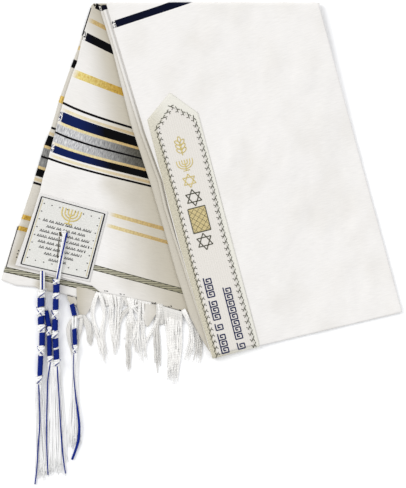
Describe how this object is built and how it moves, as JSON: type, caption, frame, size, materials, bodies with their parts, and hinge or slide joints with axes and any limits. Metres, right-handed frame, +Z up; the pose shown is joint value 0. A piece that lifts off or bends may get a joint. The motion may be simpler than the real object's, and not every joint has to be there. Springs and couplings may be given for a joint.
{
  "type": "folded tallit prayer shawl",
  "caption": "White striped prayer shawl folded up and laid flat, with neck band, corner patch, fringe and knotted corner tassels.",
  "frame": {"origin": "centre of the folded shawl's bounding box in plan, on the surface it lies on", "axes": "+Z up from the surface, +Y towards the crease that both arms of the fold hang from, +X to the right with the front arm's free end"},
  "size_m": [0.5535, 0.666, 0.0143],
  "materials": {
    "white_cloth": "matt woven cloth",
    "band_cloth": "ribbed satin cloth",
    "patch_cloth": "satin cloth",
    "white_thread": "twisted thread",
    "wound_thread": "wound thread"
  },
  "bodies": {
    "root": {"back_inner_layers": "white_cloth", "back_outer_layer": "white_cloth", "front_inner_layers": "white_cloth", "front_outer_layer": "white_cloth", "neck_band": "band_cloth", "corner_patch": "patch_cloth", "fringe_upper": "white_thread", "fringe_lower": "white_thread", "tassel_over_patch": "wound_thread", "tassel_left": "wound_thread", "tassel_middle": "wound_thread", "tassel_right": "wound_thread", "tassel_cords": "white_thread"}
  },
  "joints": []
}
